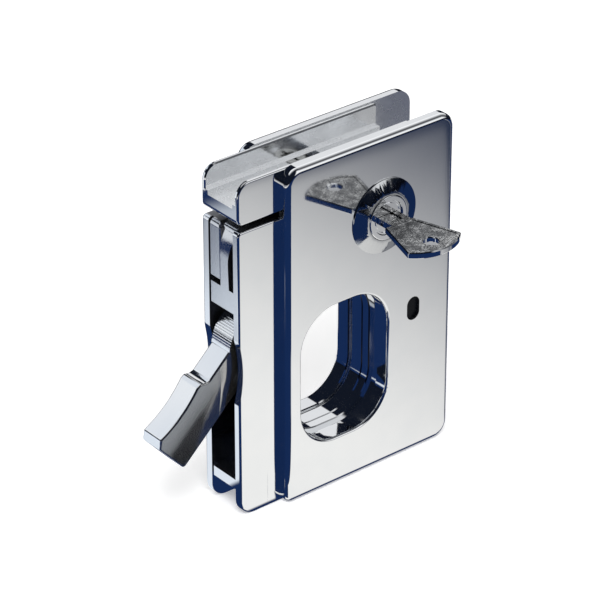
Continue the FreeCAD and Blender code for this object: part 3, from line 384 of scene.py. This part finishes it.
# %% [markdown]
# A rule for painting gets two things about each face: the place of its middle, in millimetres, and
# the way it points, its normal. A normal is one long, so its y is 1 or -1 on a face that looks
# straight along y, 0 on one that looks across, and in between on a slope. That is enough to tell
# buffed faces from cast ones.

# %% The skin helper
def skin(node, body, paint):
    """Smooth copy of an exact part, which it stands for. paint picks a material for each face."""
    mesh = nodes[node].data.copy()
    mesh.materials.clear()
    work = bmesh.new()
    work.from_mesh(mesh)
    make_whole(work)
    used = paint_faces(work, paint)
    work.to_mesh(mesh)
    work.free()
    for material in used:
        mesh.materials.append(material)
    piece = bpy.data.objects.new(node + "_skin", mesh)
    bpy.context.scene.collection.objects.link(piece)
    level = piece.modifiers.new("flats", "WEIGHTED_NORMAL")
    level.mode = "FACE_AREA"
    level.weight = 100
    level.keep_sharp = True
    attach(piece, body)
    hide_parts(node)
    print(piece.name, len(mesh.polygons), "faces")
    return piece


def paint_all(material):
    return lambda place, normal: material


# %% [markdown]
# ## Covers
#
# The two covers clamp the glass between them. Their outside is buffed. Their inner faces, which lie
# on the glass, are left as cast. The chamfers inside the finger pull, where each cover meets the case,
# get a painted shade, nearly black: those lines stay dark, and they make the pull read as several
# parts.

# %% Dress the covers
pull_left, pull_right = -12.3, 21.5
pull_foot, pull_head = 6.2, 51.5
pull_joints_within = 9.8
facing_straight = 0.95
facing_away = 0.3


def in_pull(place):
    return pull_left < place.x < pull_right and pull_foot < place.z < pull_head


def on_joint(normal):
    """A chamfer faces neither along the pull nor across it. Those that look up get no painted shade."""
    return facing_away < abs(normal.y) < facing_straight and normal.z < facing_away


def paint_cover(place, normal):
    if normal.y * place.y < 0.0 and abs(normal.y) > facing_straight:
        return trough_floor
    # Chamfers in the pull that do not look up get the painted shade, nearly black.
    joint = in_pull(place) and abs(place.y) < pull_joints_within and on_joint(normal)
    return joint_painted_shade if joint else mirror_chrome


skin("front_cover", "case", paint_cover)
skin("rear_cover", "case", paint_cover)

# %% [markdown]
# ## Case
#
# The case is two castings screwed together. Their outside, their ends and the walls of the finger
# pull are buffed, and the cavity behind the forend kept its casting skin. The two blocks beside the
# hook are in between, since a buffing wheel hardly reaches them.

# %% Dress the case
cheek_inside = 5.06
case_end, case_foot = 30.2, 0.01
blocks_right, blocks_foot, blocks_rear, blocks_front = -28.0, 56.0, 5.0, -5.5
inwards, slightly_left, left = -0.2, -0.05, -0.3


def on_block(place, normal):
    beside_hook = place.x < blocks_right and place.z > blocks_foot
    return beside_hook and blocks_front < place.y < blocks_rear and normal.x < slightly_left


def on_outside(place, normal):
    cheek = abs(place.y) > cheek_inside and normal.y * place.y > inwards
    forend = place.x < -case_end and normal.x < left
    return cheek or forend or place.z < case_foot or place.x > case_end


def paint_case(place, normal):
    if on_block(place, normal):
        return block_casting
    # Chamfers in the pull that do not look up get the painted shade, nearly black.
    if in_pull(place) and on_joint(normal):
        return joint_painted_shade
    return mirror_chrome if on_outside(place, normal) or in_pull(place) else inner_casting


skin("case_front_half", "case", paint_case)
skin("case_rear_half", "case", paint_case)

# %% [markdown]
# ## Upper channel
#
# The channel closes on the glass above. Outside it shines like the case. The walls of its trough are
# cast with lines along it, and its floor is grainier still.

# %% Dress the channel
trough_half_width, trough_foot, trough_left = 6.36, 83.7, -30.4
upwards, lengthwise = 0.7, 0.5


def paint_channel(place, normal):
    inside = abs(place.y) < trough_half_width and place.z > trough_foot and place.x > trough_left
    if inside and normal.z > upwards:
        return trough_floor
    return trough_casting if inside and abs(normal.x) < lengthwise else mirror_chrome


skin("upper_channel", "channel", paint_channel)

# %% [markdown]
# ## Hook, cylinder and key
#
# The hook's flat sides are chromed casting painted a darker grey, a painted shade. Its ribbed hub is
# brighter and a little blurred, and its catch is buffed. The cylinder's rosette, barrel and plug are
# turned and buffed. The key's two broad faces are pebbled and its narrow edges are smooth. On the
# hook and the key the finish changes where the surface turns a corner, so the way a face points
# decides it. The small window has its plug of black plastic, and the screws that show are plain steel.

# %% Dress the working pieces that show
hub_left = -31.0
hook_side, key_face = 0.7, 0.8


def paint_hook(place, normal):
    # The flat sides get the painted shade; the hub and the catch stay bright.
    if abs(normal.y) > hook_side:
        return hook_side_painted_shade
    return hub_casting if place.x > hub_left else mirror_chrome


def paint_key(place, normal):
    return key_nickel if abs(normal.z) > key_face else mirror_chrome


skin("hook_bolt", "hook", paint_hook)
skin("cylinder_rosette", "case", paint_all(rosette_chrome))
skin("cylinder_housing", "case", paint_all(mirror_chrome))
skin("cylinder_plug", "plug", paint_all(mirror_chrome))
skin("key", "key", paint_key)
skin("window_plug", "case", paint_all(black_plastic))
skin("clamp_screw", "clamp", paint_all(bright_steel))
skin("cover_screws", "case", paint_all(bright_steel))
skin("case_screws", "case", paint_all(bright_steel))

# %% [markdown]
# ## The pieces inside
#
# The works of the lock stay hidden: pins, slide bar, cam, wafers and springs. They show when the
# lock is opened up, and a little through the gap above the case. A skin would be wasted on them, so
# they keep their own meshes and only get a metal.

# %% Dress the hidden pieces
hidden_steel = ["channel_dowels", "clamp_nut", "hook_pivot_pin", "hook_washers", "hook_crank_pin",
                "slide_bar", "slide_guide_pins", "drive_cam", "cam_pin", "cam_screw", "cylinder_clip",
                "wafer_springs"]
hidden_brass = ["cylinder_wafers"]
for metal, names in ((bright_steel, hidden_steel), (wafer_brass, hidden_brass)):
    for name in names:
        mesh = nodes[name].data
        mesh.materials.clear()
        mesh.materials.append(metal)
print("dressed", len(hidden_steel) + len(hidden_brass), "hidden parts")

# %% [markdown]
# ## The floor
#
# The lock stands on a pale floor. The camera has to see it as white right up to the horizon. More
# light would do that, but it would spoil the lock. So the floor glows a little for camera rays
# alone. It still takes the shadow, because the glow is only a third of its brightness.

# %% Floor
floor_level = -8.3
floor_gap = 0.05
floor_half = 3.0
floor_glow = 0.35
floor_shade, floor_roughness, floor_gloss = (0.93, 0.93, 0.93, 1.0), 0.9, 0.1
white = (1.0, 1.0, 1.0, 1.0)


def sheet(name, corners):
    """Flat sheet through four corners, given in millimetres, that belongs to the studio."""
    mesh = bpy.data.meshes.new(name)
    work = bmesh.new()
    work.faces.new([work.verts.new(Vector(corner) * MM) for corner in corners])
    work.to_mesh(mesh)
    work.free()
    piece = bpy.data.objects.new(name, mesh)
    bpy.context.scene.collection.objects.link(piece)
    return piece


def level_square(half, height):
    return [(-half, -half, height), (half, -half, height), (half, half, height), (-half, half, height)]


floor = sheet("floor", level_square(floor_half / MM, floor_level - floor_gap))
floor_paint = bpy.data.materials.new("floor_paint")
floor_paint.use_nodes = True
tree = floor_paint.node_tree
shader = tree.nodes["Principled BSDF"]
shader.inputs["Base Color"].default_value = floor_shade
shader.inputs["Roughness"].default_value = floor_roughness
shader.inputs["Specular IOR Level"].default_value = floor_gloss
shader.inputs["Emission Color"].default_value = white
seen = add_node(tree, "ShaderNodeLightPath").outputs["Is Camera Ray"]
tree.links.new(between(tree, seen, 0.0, floor_glow), shader.inputs["Emission Strength"])
floor.data.materials.append(floor_paint)
print("floor laid at", floor_level, "mm")

# %% [markdown]
# ## What the chrome sees below
#
# Chrome needs contrast to read as chrome, so a second sheet lies on the floor that only reflections
# can see. It is deep blue paper with white boards on it.
#
# A flat face mirrors one patch of this table, and shows it whole. A rounding shows a wide stretch of
# the table squeezed into a line, which is where the thin dark and light lines along the edges come
# from. So the boards are placed for the flats, and the roundings follow by themselves.
#
# The sheets need a material that only shines, and a way to hide them from everything but mirrors.

# %% Sheets that only mirrors see
deep_blue = (0.009, 0.0265, 0.098)


def only_in_mirrors(piece):
    """Hides a sheet from everything but reflections."""
    piece.visible_camera = False
    piece.visible_diffuse = False
    piece.visible_transmission = False
    piece.visible_shadow = False


def start_glow(name):
    """A material that only shines, with its coordinates in millimetres."""
    material = bpy.data.materials.new(name)
    material.use_nodes = True
    tree = material.node_tree
    tree.nodes.remove(tree.nodes["Principled BSDF"])
    place = add_node(tree, "ShaderNodeTexCoord").outputs["Object"]
    scaled = add_node(tree, "ShaderNodeVectorMath", {0: place, "Scale": 1.0 / MM}, operation="SCALE")
    axes = add_node(tree, "ShaderNodeSeparateXYZ", {"Vector": scaled.outputs["Vector"]})
    return material, tree, axes.outputs["X"], axes.outputs["Y"], axes.outputs["Z"]


def shine(tree, colour):
    glow = add_node(tree, "ShaderNodeEmission", {"Color": colour, "Strength": 1.0})
    tree.links.new(glow.outputs["Emission"], tree.nodes["Material Output"].inputs["Surface"])


# %% [markdown]
# A board could be a sheet of its own, but boards that fade and overlap are easier to paint. Each is
# a mask and a colour. A mask is made of ramps, one for each edge, which are multiplied, so that the
# board is what all of its ramps agree on. A short ramp gives a crisp edge in the mirror, a long one
# gives a fade. A ramp runs along a ruler, which is some mixture of the two directions on the table.

# %% Ramps, rulers and masks
def ramp(tree, value, start, end):
    """0 before start, 1 after end, and a smooth rise between them."""
    ranged = add_node(tree, "ShaderNodeMapRange", {"Value": value, "From Min": start, "From Max": end},
                      interpolation_type="SMOOTHSTEP")
    return ranged.outputs["Result"]


def maths(tree, operation, *values):
    """One sum; the values are numbers or sockets."""
    return add_node(tree, "ShaderNodeMath", dict(enumerate(values)), operation=operation).outputs[0]


def along(tree, first, second, ruler):
    """How far a point lies along a ruler, which is given by its share of each direction."""
    part = maths(tree, "MULTIPLY", second, ruler[1])
    return maths(tree, "MULTIPLY_ADD", first, ruler[0], part)


def all_of(tree, *masks):
    """Where every one of the masks is 1."""
    result = masks[0]
    for mask in masks[1:]:
        result = maths(tree, "MULTIPLY", result, mask)
    return result


def lay_over(tree, mask, under, over):
    """Covers one colour by another where the mask is 1."""
    mix = add_node(tree, "ShaderNodeMix", {"Factor": mask, "A": under, "B": over}, data_type="RGBA")
    return mix.outputs["Result"]


# %% [markdown]
# ### The board in front
#
# Two rulers serve this board: one runs the way the front faces throw the line of sight, the other
# across it. A point low on the cover mirrors the near end of the first ruler and a point high on it
# the far end, so a board that darkens along that ruler gives the cover its slow gradient from white
# to grey. It fades towards its far corner, and again near its far end, where the gradient is
# quicker. A blue margin runs along its right side, and beyond that it is a dim grey.
#
# Its near edge keeps just clear of the lock's foot, with a step where the cover begins. Its left
# edge is sharp, and stops just short of what the hook's side mirrors, which keeps the hook dark.

# %% The board in front
away_ruler, across_ruler = (0.635, -0.773), (0.773, 0.635)
to_corner_ruler, to_end_ruler = (1.0, 0.98), (1.0, -0.756)
sideways_ruler, left_edge_ruler = (1.0, -0.031), (1.0, 0.042)
faded_board, full_board = (0.0, 0.012, 0.053), (1.0, 0.995, 0.975)
corner_fade, corner_levels = (334.0, -3.0), (0.018, 1.01)
end_fade, end_levels = (217.0, 205.0), (0.385, 1.0)
margin_left, margin_right = (26.4, 28.0), (33.4, 31.6)
margin_begins, margin_level = (60.0, 190.0), 0.04
cover_ends, past_cover_level = (28.6, 30.5), 0.24
dim_begins, dim_levels = (32.0, 34.0), (0.02, 0.30)
front_left, front_near, front_right = (-29.4, -28.6), (-8.8, -9.8), (62.0, 46.0)
near_step, near_step_depth = (-17.0, -14.0), 3.2


def front_board(tree, x, y, away, across):
    corner = between(tree, ramp(tree, along(tree, away, across, to_corner_ruler), *corner_fade),
                     *corner_levels)
    end = between(tree, ramp(tree, along(tree, away, across, to_end_ruler), *end_fade), *end_levels)
    sideways = along(tree, across, away, sideways_ruler)
    margin = all_of(tree, ramp(tree, sideways, *margin_left), ramp(tree, sideways, *margin_right),
                    ramp(tree, away, *margin_begins))
    past_cover = between(tree, ramp(tree, sideways, *cover_ends), 1.0, past_cover_level)
    shade = all_of(tree, corner, end, between(tree, margin, 1.0, margin_level), past_cover)
    shade = maths(tree, "MAXIMUM", shade, between(tree, ramp(tree, sideways, *dim_begins), *dim_levels))
    near_edge = maths(tree, "MULTIPLY_ADD", ramp(tree, x, *near_step), near_step_depth, y)
    mask = all_of(tree, ramp(tree, along(tree, across, away, left_edge_ruler), *front_left),
                  ramp(tree, near_edge, *front_near), ramp(tree, sideways, *front_right))
    return mask, blend_colours(tree, shade, faded_board, full_board)


# %% [markdown]
# ### The patch by the hook
#
# The hook's side mirrors a part of the table that no other flat face sees. There it finds a small
# light patch that ends in a slanted edge, and dark paper past it. In the mirror that becomes a light
# band along the hook's back and a dark belly.

# %% The patch by the hook
hook_shade, hook_light = (0.024, 0.027, 0.034), (0.50, 0.53, 0.58)
patch_ruler, patch_offset, patch_fade = (0.521, 0.853), 50.0, (6.0, 0.5)
patch_left, patch_right = (-52.0, -49.0), (-27.5, -28.5)
patch_near, patch_far = (0.0, 2.0), (84.0, 72.0)


def hook_patch(tree, x, y, away, across):
    past_hook = maths(tree, "ADD", along(tree, x, y, patch_ruler), patch_offset)
    mask = all_of(tree, ramp(tree, across, *patch_left), ramp(tree, across, *patch_right),
                  ramp(tree, away, *patch_near), ramp(tree, away, *patch_far))
    return mask, blend_colours(tree, ramp(tree, past_hook, *patch_fade), hook_shade, hook_light)


# %% [markdown]
# ### The boards to the left, behind and at the side
#
# The left board serves the forend and the blocks beside the hook, and is a little cooler. The board
# behind serves the trough, and anyone who walks round to the plain side. It has a gap in it, which
# puts a dark shape in the plain cover. The board at the side lies well to the left, for the view
# straight at the forend.

# %% The other boards
cool_board = (0.88, 0.95, 1.04)
leftwards_ruler, slant_ruler = (0.672, 0.552), (1.0, -0.32)
left_begins, left_near = (-10.2, -11.6), (6.0, 8.5)
left_ends, left_far = (-152.0, -144.0), (150.0, 135.0)
left_fade, left_levels = (128.0, 84.0), (0.58, 0.96)
gap_near, gap_far, gap_right = (33.0, 37.0), (66.0, 62.0), (92.0, 84.0)
back_near, back_left = (13.0, 16.0), (33.0, 37.0)
back_fade, back_levels = (250.0, 50.0), (0.06, 0.92)
side_begins, side_near = (-215.0, -235.0), (20.0, 0.0)
side_fade, side_levels = (-420.0, -220.0), (0.30, 0.90)


def left_board(tree, x, y, leftwards):
    mask = all_of(tree, ramp(tree, leftwards, *left_begins), ramp(tree, y, *left_near),
                  ramp(tree, x, *left_ends), ramp(tree, y, *left_far))
    shade = between(tree, ramp(tree, y, *left_fade), *left_levels)
    return mask, blend_colours(tree, shade, faded_board, cool_board)


def back_board(tree, x, y, leftwards):
    slant = along(tree, y, x, slant_ruler)
    gap = all_of(tree, ramp(tree, slant, *gap_near), ramp(tree, slant, *gap_far),
                 ramp(tree, x, *gap_right))
    mask = all_of(tree, ramp(tree, y, *back_near), ramp(tree, leftwards, *back_left),
                  between(tree, gap, 1.0, 0.0))
    shade = between(tree, ramp(tree, y, *back_fade), *back_levels)
    return mask, blend_colours(tree, shade, faded_board, full_board)


def side_board(tree, x, y):
    mask = all_of(tree, ramp(tree, x, *side_begins), ramp(tree, y, *side_near))
    shade = between(tree, ramp(tree, x, *side_fade), *side_levels)
    return mask, blend_colours(tree, shade, faded_board, full_board)


# %% [markdown]
# ### Laying the table
#
# The boards are laid over the blue paper one after the other, as they would be on a real table. Far
# away the paper runs into darkness, so the rosette's upper slope mirrors black.

# %% Reflected table
far_dark = (0.003, 0.004, 0.008, 1.0)
dark_begins, dark_full = 480.0, 800.0


def paint_table():
    material, tree, x, y, z = start_glow("table_paint")
    away, across = along(tree, x, y, away_ruler), along(tree, x, y, across_ruler)
    leftwards = along(tree, x, y, leftwards_ruler)
    colour = (*deep_blue, 1.0)
    for mask, board in (hook_patch(tree, x, y, away, across), front_board(tree, x, y, away, across),
                        left_board(tree, x, y, leftwards), back_board(tree, x, y, leftwards),
                        side_board(tree, x, y)):
        colour = lay_over(tree, mask, colour, board)
    squares = maths(tree, "ADD", maths(tree, "MULTIPLY", x, x), maths(tree, "MULTIPLY", y, y))
    distance = maths(tree, "SQRT", squares)
    shine(tree, lay_over(tree, ramp(tree, distance, dark_begins, dark_full), colour, far_dark))
    return material


table = sheet("reflected_table", level_square(floor_half / MM, floor_level))
only_in_mirrors(table)
table.data.materials.append(paint_table())
print("reflected table painted with", len(table.data.materials[0].node_tree.nodes), "nodes")

# %% [markdown]
# ## Cards behind the hook
#
# Two cards stand upright behind the hook, where a photographer would hold sheets of white paper to
# open up faces that would otherwise go black. Only the hook's upper face mirrors the first, and only
# its ribbed hub the second, which hangs higher. Both turn bluer towards the top.

# %% Cards
card_fade, card_levels = (118.0, 60.0), (0.72, 1.0)
card_sky, card_white = (0.30, 0.42, 0.62), (0.93, 0.96, 1.0)
cards_behind = 60.0
cards_left, cards_meet, cards_right = -128.0, -60.0, -5.0
hook_card_low, hook_card_high = 54.0, 113.0
hub_card_low, hub_card_high = 101.0, 140.0


def paint_card():
    material, tree, x, y, z = start_glow("card_paint")
    whiteness = between(tree, ramp(tree, z, *card_fade), *card_levels)
    shine(tree, blend_colours(tree, whiteness, card_sky, card_white))
    return material


def upright_square(left, right, low, high):
    return [(left, cards_behind, low), (right, cards_behind, low),
            (right, cards_behind, high), (left, cards_behind, high)]


hook_card = sheet("hook_card", upright_square(cards_left, cards_meet, hook_card_low, hook_card_high))
hub_card = sheet("hub_card", upright_square(cards_meet, cards_right, hub_card_low, hub_card_high))
card_paint = paint_card()
for card in (hook_card, hub_card):
    only_in_mirrors(card)
    card.data.materials.append(card_paint)
    print(card.name, [round(v / MM) for v in card.dimensions], "mm")

# %% [markdown]
# ## Flags
#
# A flag does the opposite of a card: it keeps light away. Two of them stand close to the lock and
# keep the white board out of the left edge of the case and of its foot. A flag this close would
# show in the front faces, so it is turned until those faces mirror it edge on, and a sheet has no
# thickness to show.

# %% Flags
def edge_on_sheet(name, start_x, start_y, length, high, low=-8.2):
    """Upright dark sheet that the front faces only mirror edge on, so it never shows in them."""
    line = Vector((start_x - camera.location.x / MM, camera.location.y / MM - start_y, 0.0))
    end = Vector((start_x, start_y, 0.0)) + line.normalized() * length
    piece = sheet(name, [(start_x, start_y, low), (end.x, end.y, low),
                         (end.x, end.y, high), (start_x, start_y, high)])
    only_in_mirrors(piece)
    material, tree, x, y, z = start_glow(name + "_paint")
    shine(tree, (*deep_blue, 1.0))
    piece.data.materials.append(material)
    print(name, [round(v / MM) for v in piece.dimensions], "mm")


edge_on_sheet("hook_flag", start_x=-33.4, start_y=-4.7, length=42.0, high=36.0)
edge_on_sheet("foot_flag", start_x=-20.5, start_y=-7.9, length=5.5, high=0.5)

# %% [markdown]
# ## What the chrome sees above
#
# The world has two faces. The camera sees plain white, and soft surfaces pale grey. Mirrors see a
# dark room with three lights: one high behind and to the right, which fills every level face; one
# overhead; and one in front, parted from the others by a dark line. A rounded upper edge mirrors
# them one after the other, which draws its white, dark and white stripes.
#
# A picture of a real room could do this too, but a few ramps over the direction are exact and easy
# to move. They say how far a ray goes to the right, away from the front, and up. The first two
# lights fade out slowly towards the front, so the roundings darken softly.

# %% World
room_dark, room_light = (0.006, 0.009, 0.018), (1.05, 1.06, 1.08)
soft_grey = (0.62, 0.62, 0.62, 1.0)
behind_fade, behind_level = (-0.30, 0.45), 0.10
far_behind, far_behind_level = (0.56, 0.66), 0.82
right_side, right_up = (0.43, 0.47), (0.28, 0.33)
top_up = 0.77, 0.81
front_depth, front_up, front_side = (-0.40, -0.75), (0.08, 0.13), (0.15, 0.30)

world = bpy.data.worlds.new("room")
bpy.context.scene.world = world
world.use_nodes = True
tree = world.node_tree
direction = add_node(tree, "ShaderNodeTexCoord").outputs["Generated"]
axes = add_node(tree, "ShaderNodeSeparateXYZ", {"Vector": direction})
side, depth, height = axes.outputs["X"], axes.outputs["Y"], axes.outputs["Z"]
behind = ramp(tree, depth, *behind_fade)
right_light = all_of(tree, ramp(tree, side, *right_side), ramp(tree, height, *right_up),
                     between(tree, behind, behind_level, 1.0),
                     between(tree, ramp(tree, depth, *far_behind), 1.0, far_behind_level))
top_light = all_of(tree, ramp(tree, height, *top_up), behind)
front_light = all_of(tree, ramp(tree, depth, *front_depth), ramp(tree, height, *front_up),
                     ramp(tree, side, *front_side))
lights = maths(tree, "MAXIMUM", maths(tree, "MAXIMUM", right_light, top_light), front_light)
room = blend_colours(tree, lights, room_dark, room_light)
path = add_node(tree, "ShaderNodeLightPath")
plain = lay_over(tree, path.outputs["Is Glossy Ray"], soft_grey, room)
shown = lay_over(tree, path.outputs["Is Camera Ray"], plain, white)
tree.links.new(shown, tree.nodes["Background"].inputs["Color"])
print("room built with", len(tree.nodes), "nodes")

# %% [markdown]
# ## The lamp
#
# One soft lamp hangs over the camera's shoulder, higher than the camera. From there the shadow falls
# behind the lock, where it only shows through the finger pull, as a pale grey. Mirrors don't see the
# lamp, because the room above already holds all the lights they need.

# %% Soft lamp
lamp_elevation = 52.0
lamp_distance, lamp_size = 0.9, 0.35
lamp_power = 5.0

lamp_data = bpy.data.lights.new("softbox", "AREA")
lamp_data.shape = "SQUARE"
lamp_data.size = lamp_size
lamp_data.energy = lamp_power
lamp = bpy.data.objects.new("softbox", lamp_data)
over_shoulder = towards(camera_azimuth, lamp_elevation)
lamp.location = camera_target + over_shoulder * lamp_distance
lamp.rotation_euler = over_shoulder.to_track_quat("Z", "Y").to_euler()
lamp.visible_glossy = False
bpy.context.scene.collection.objects.link(lamp)
print("lamp at", [round(v / MM) for v in lamp.location])
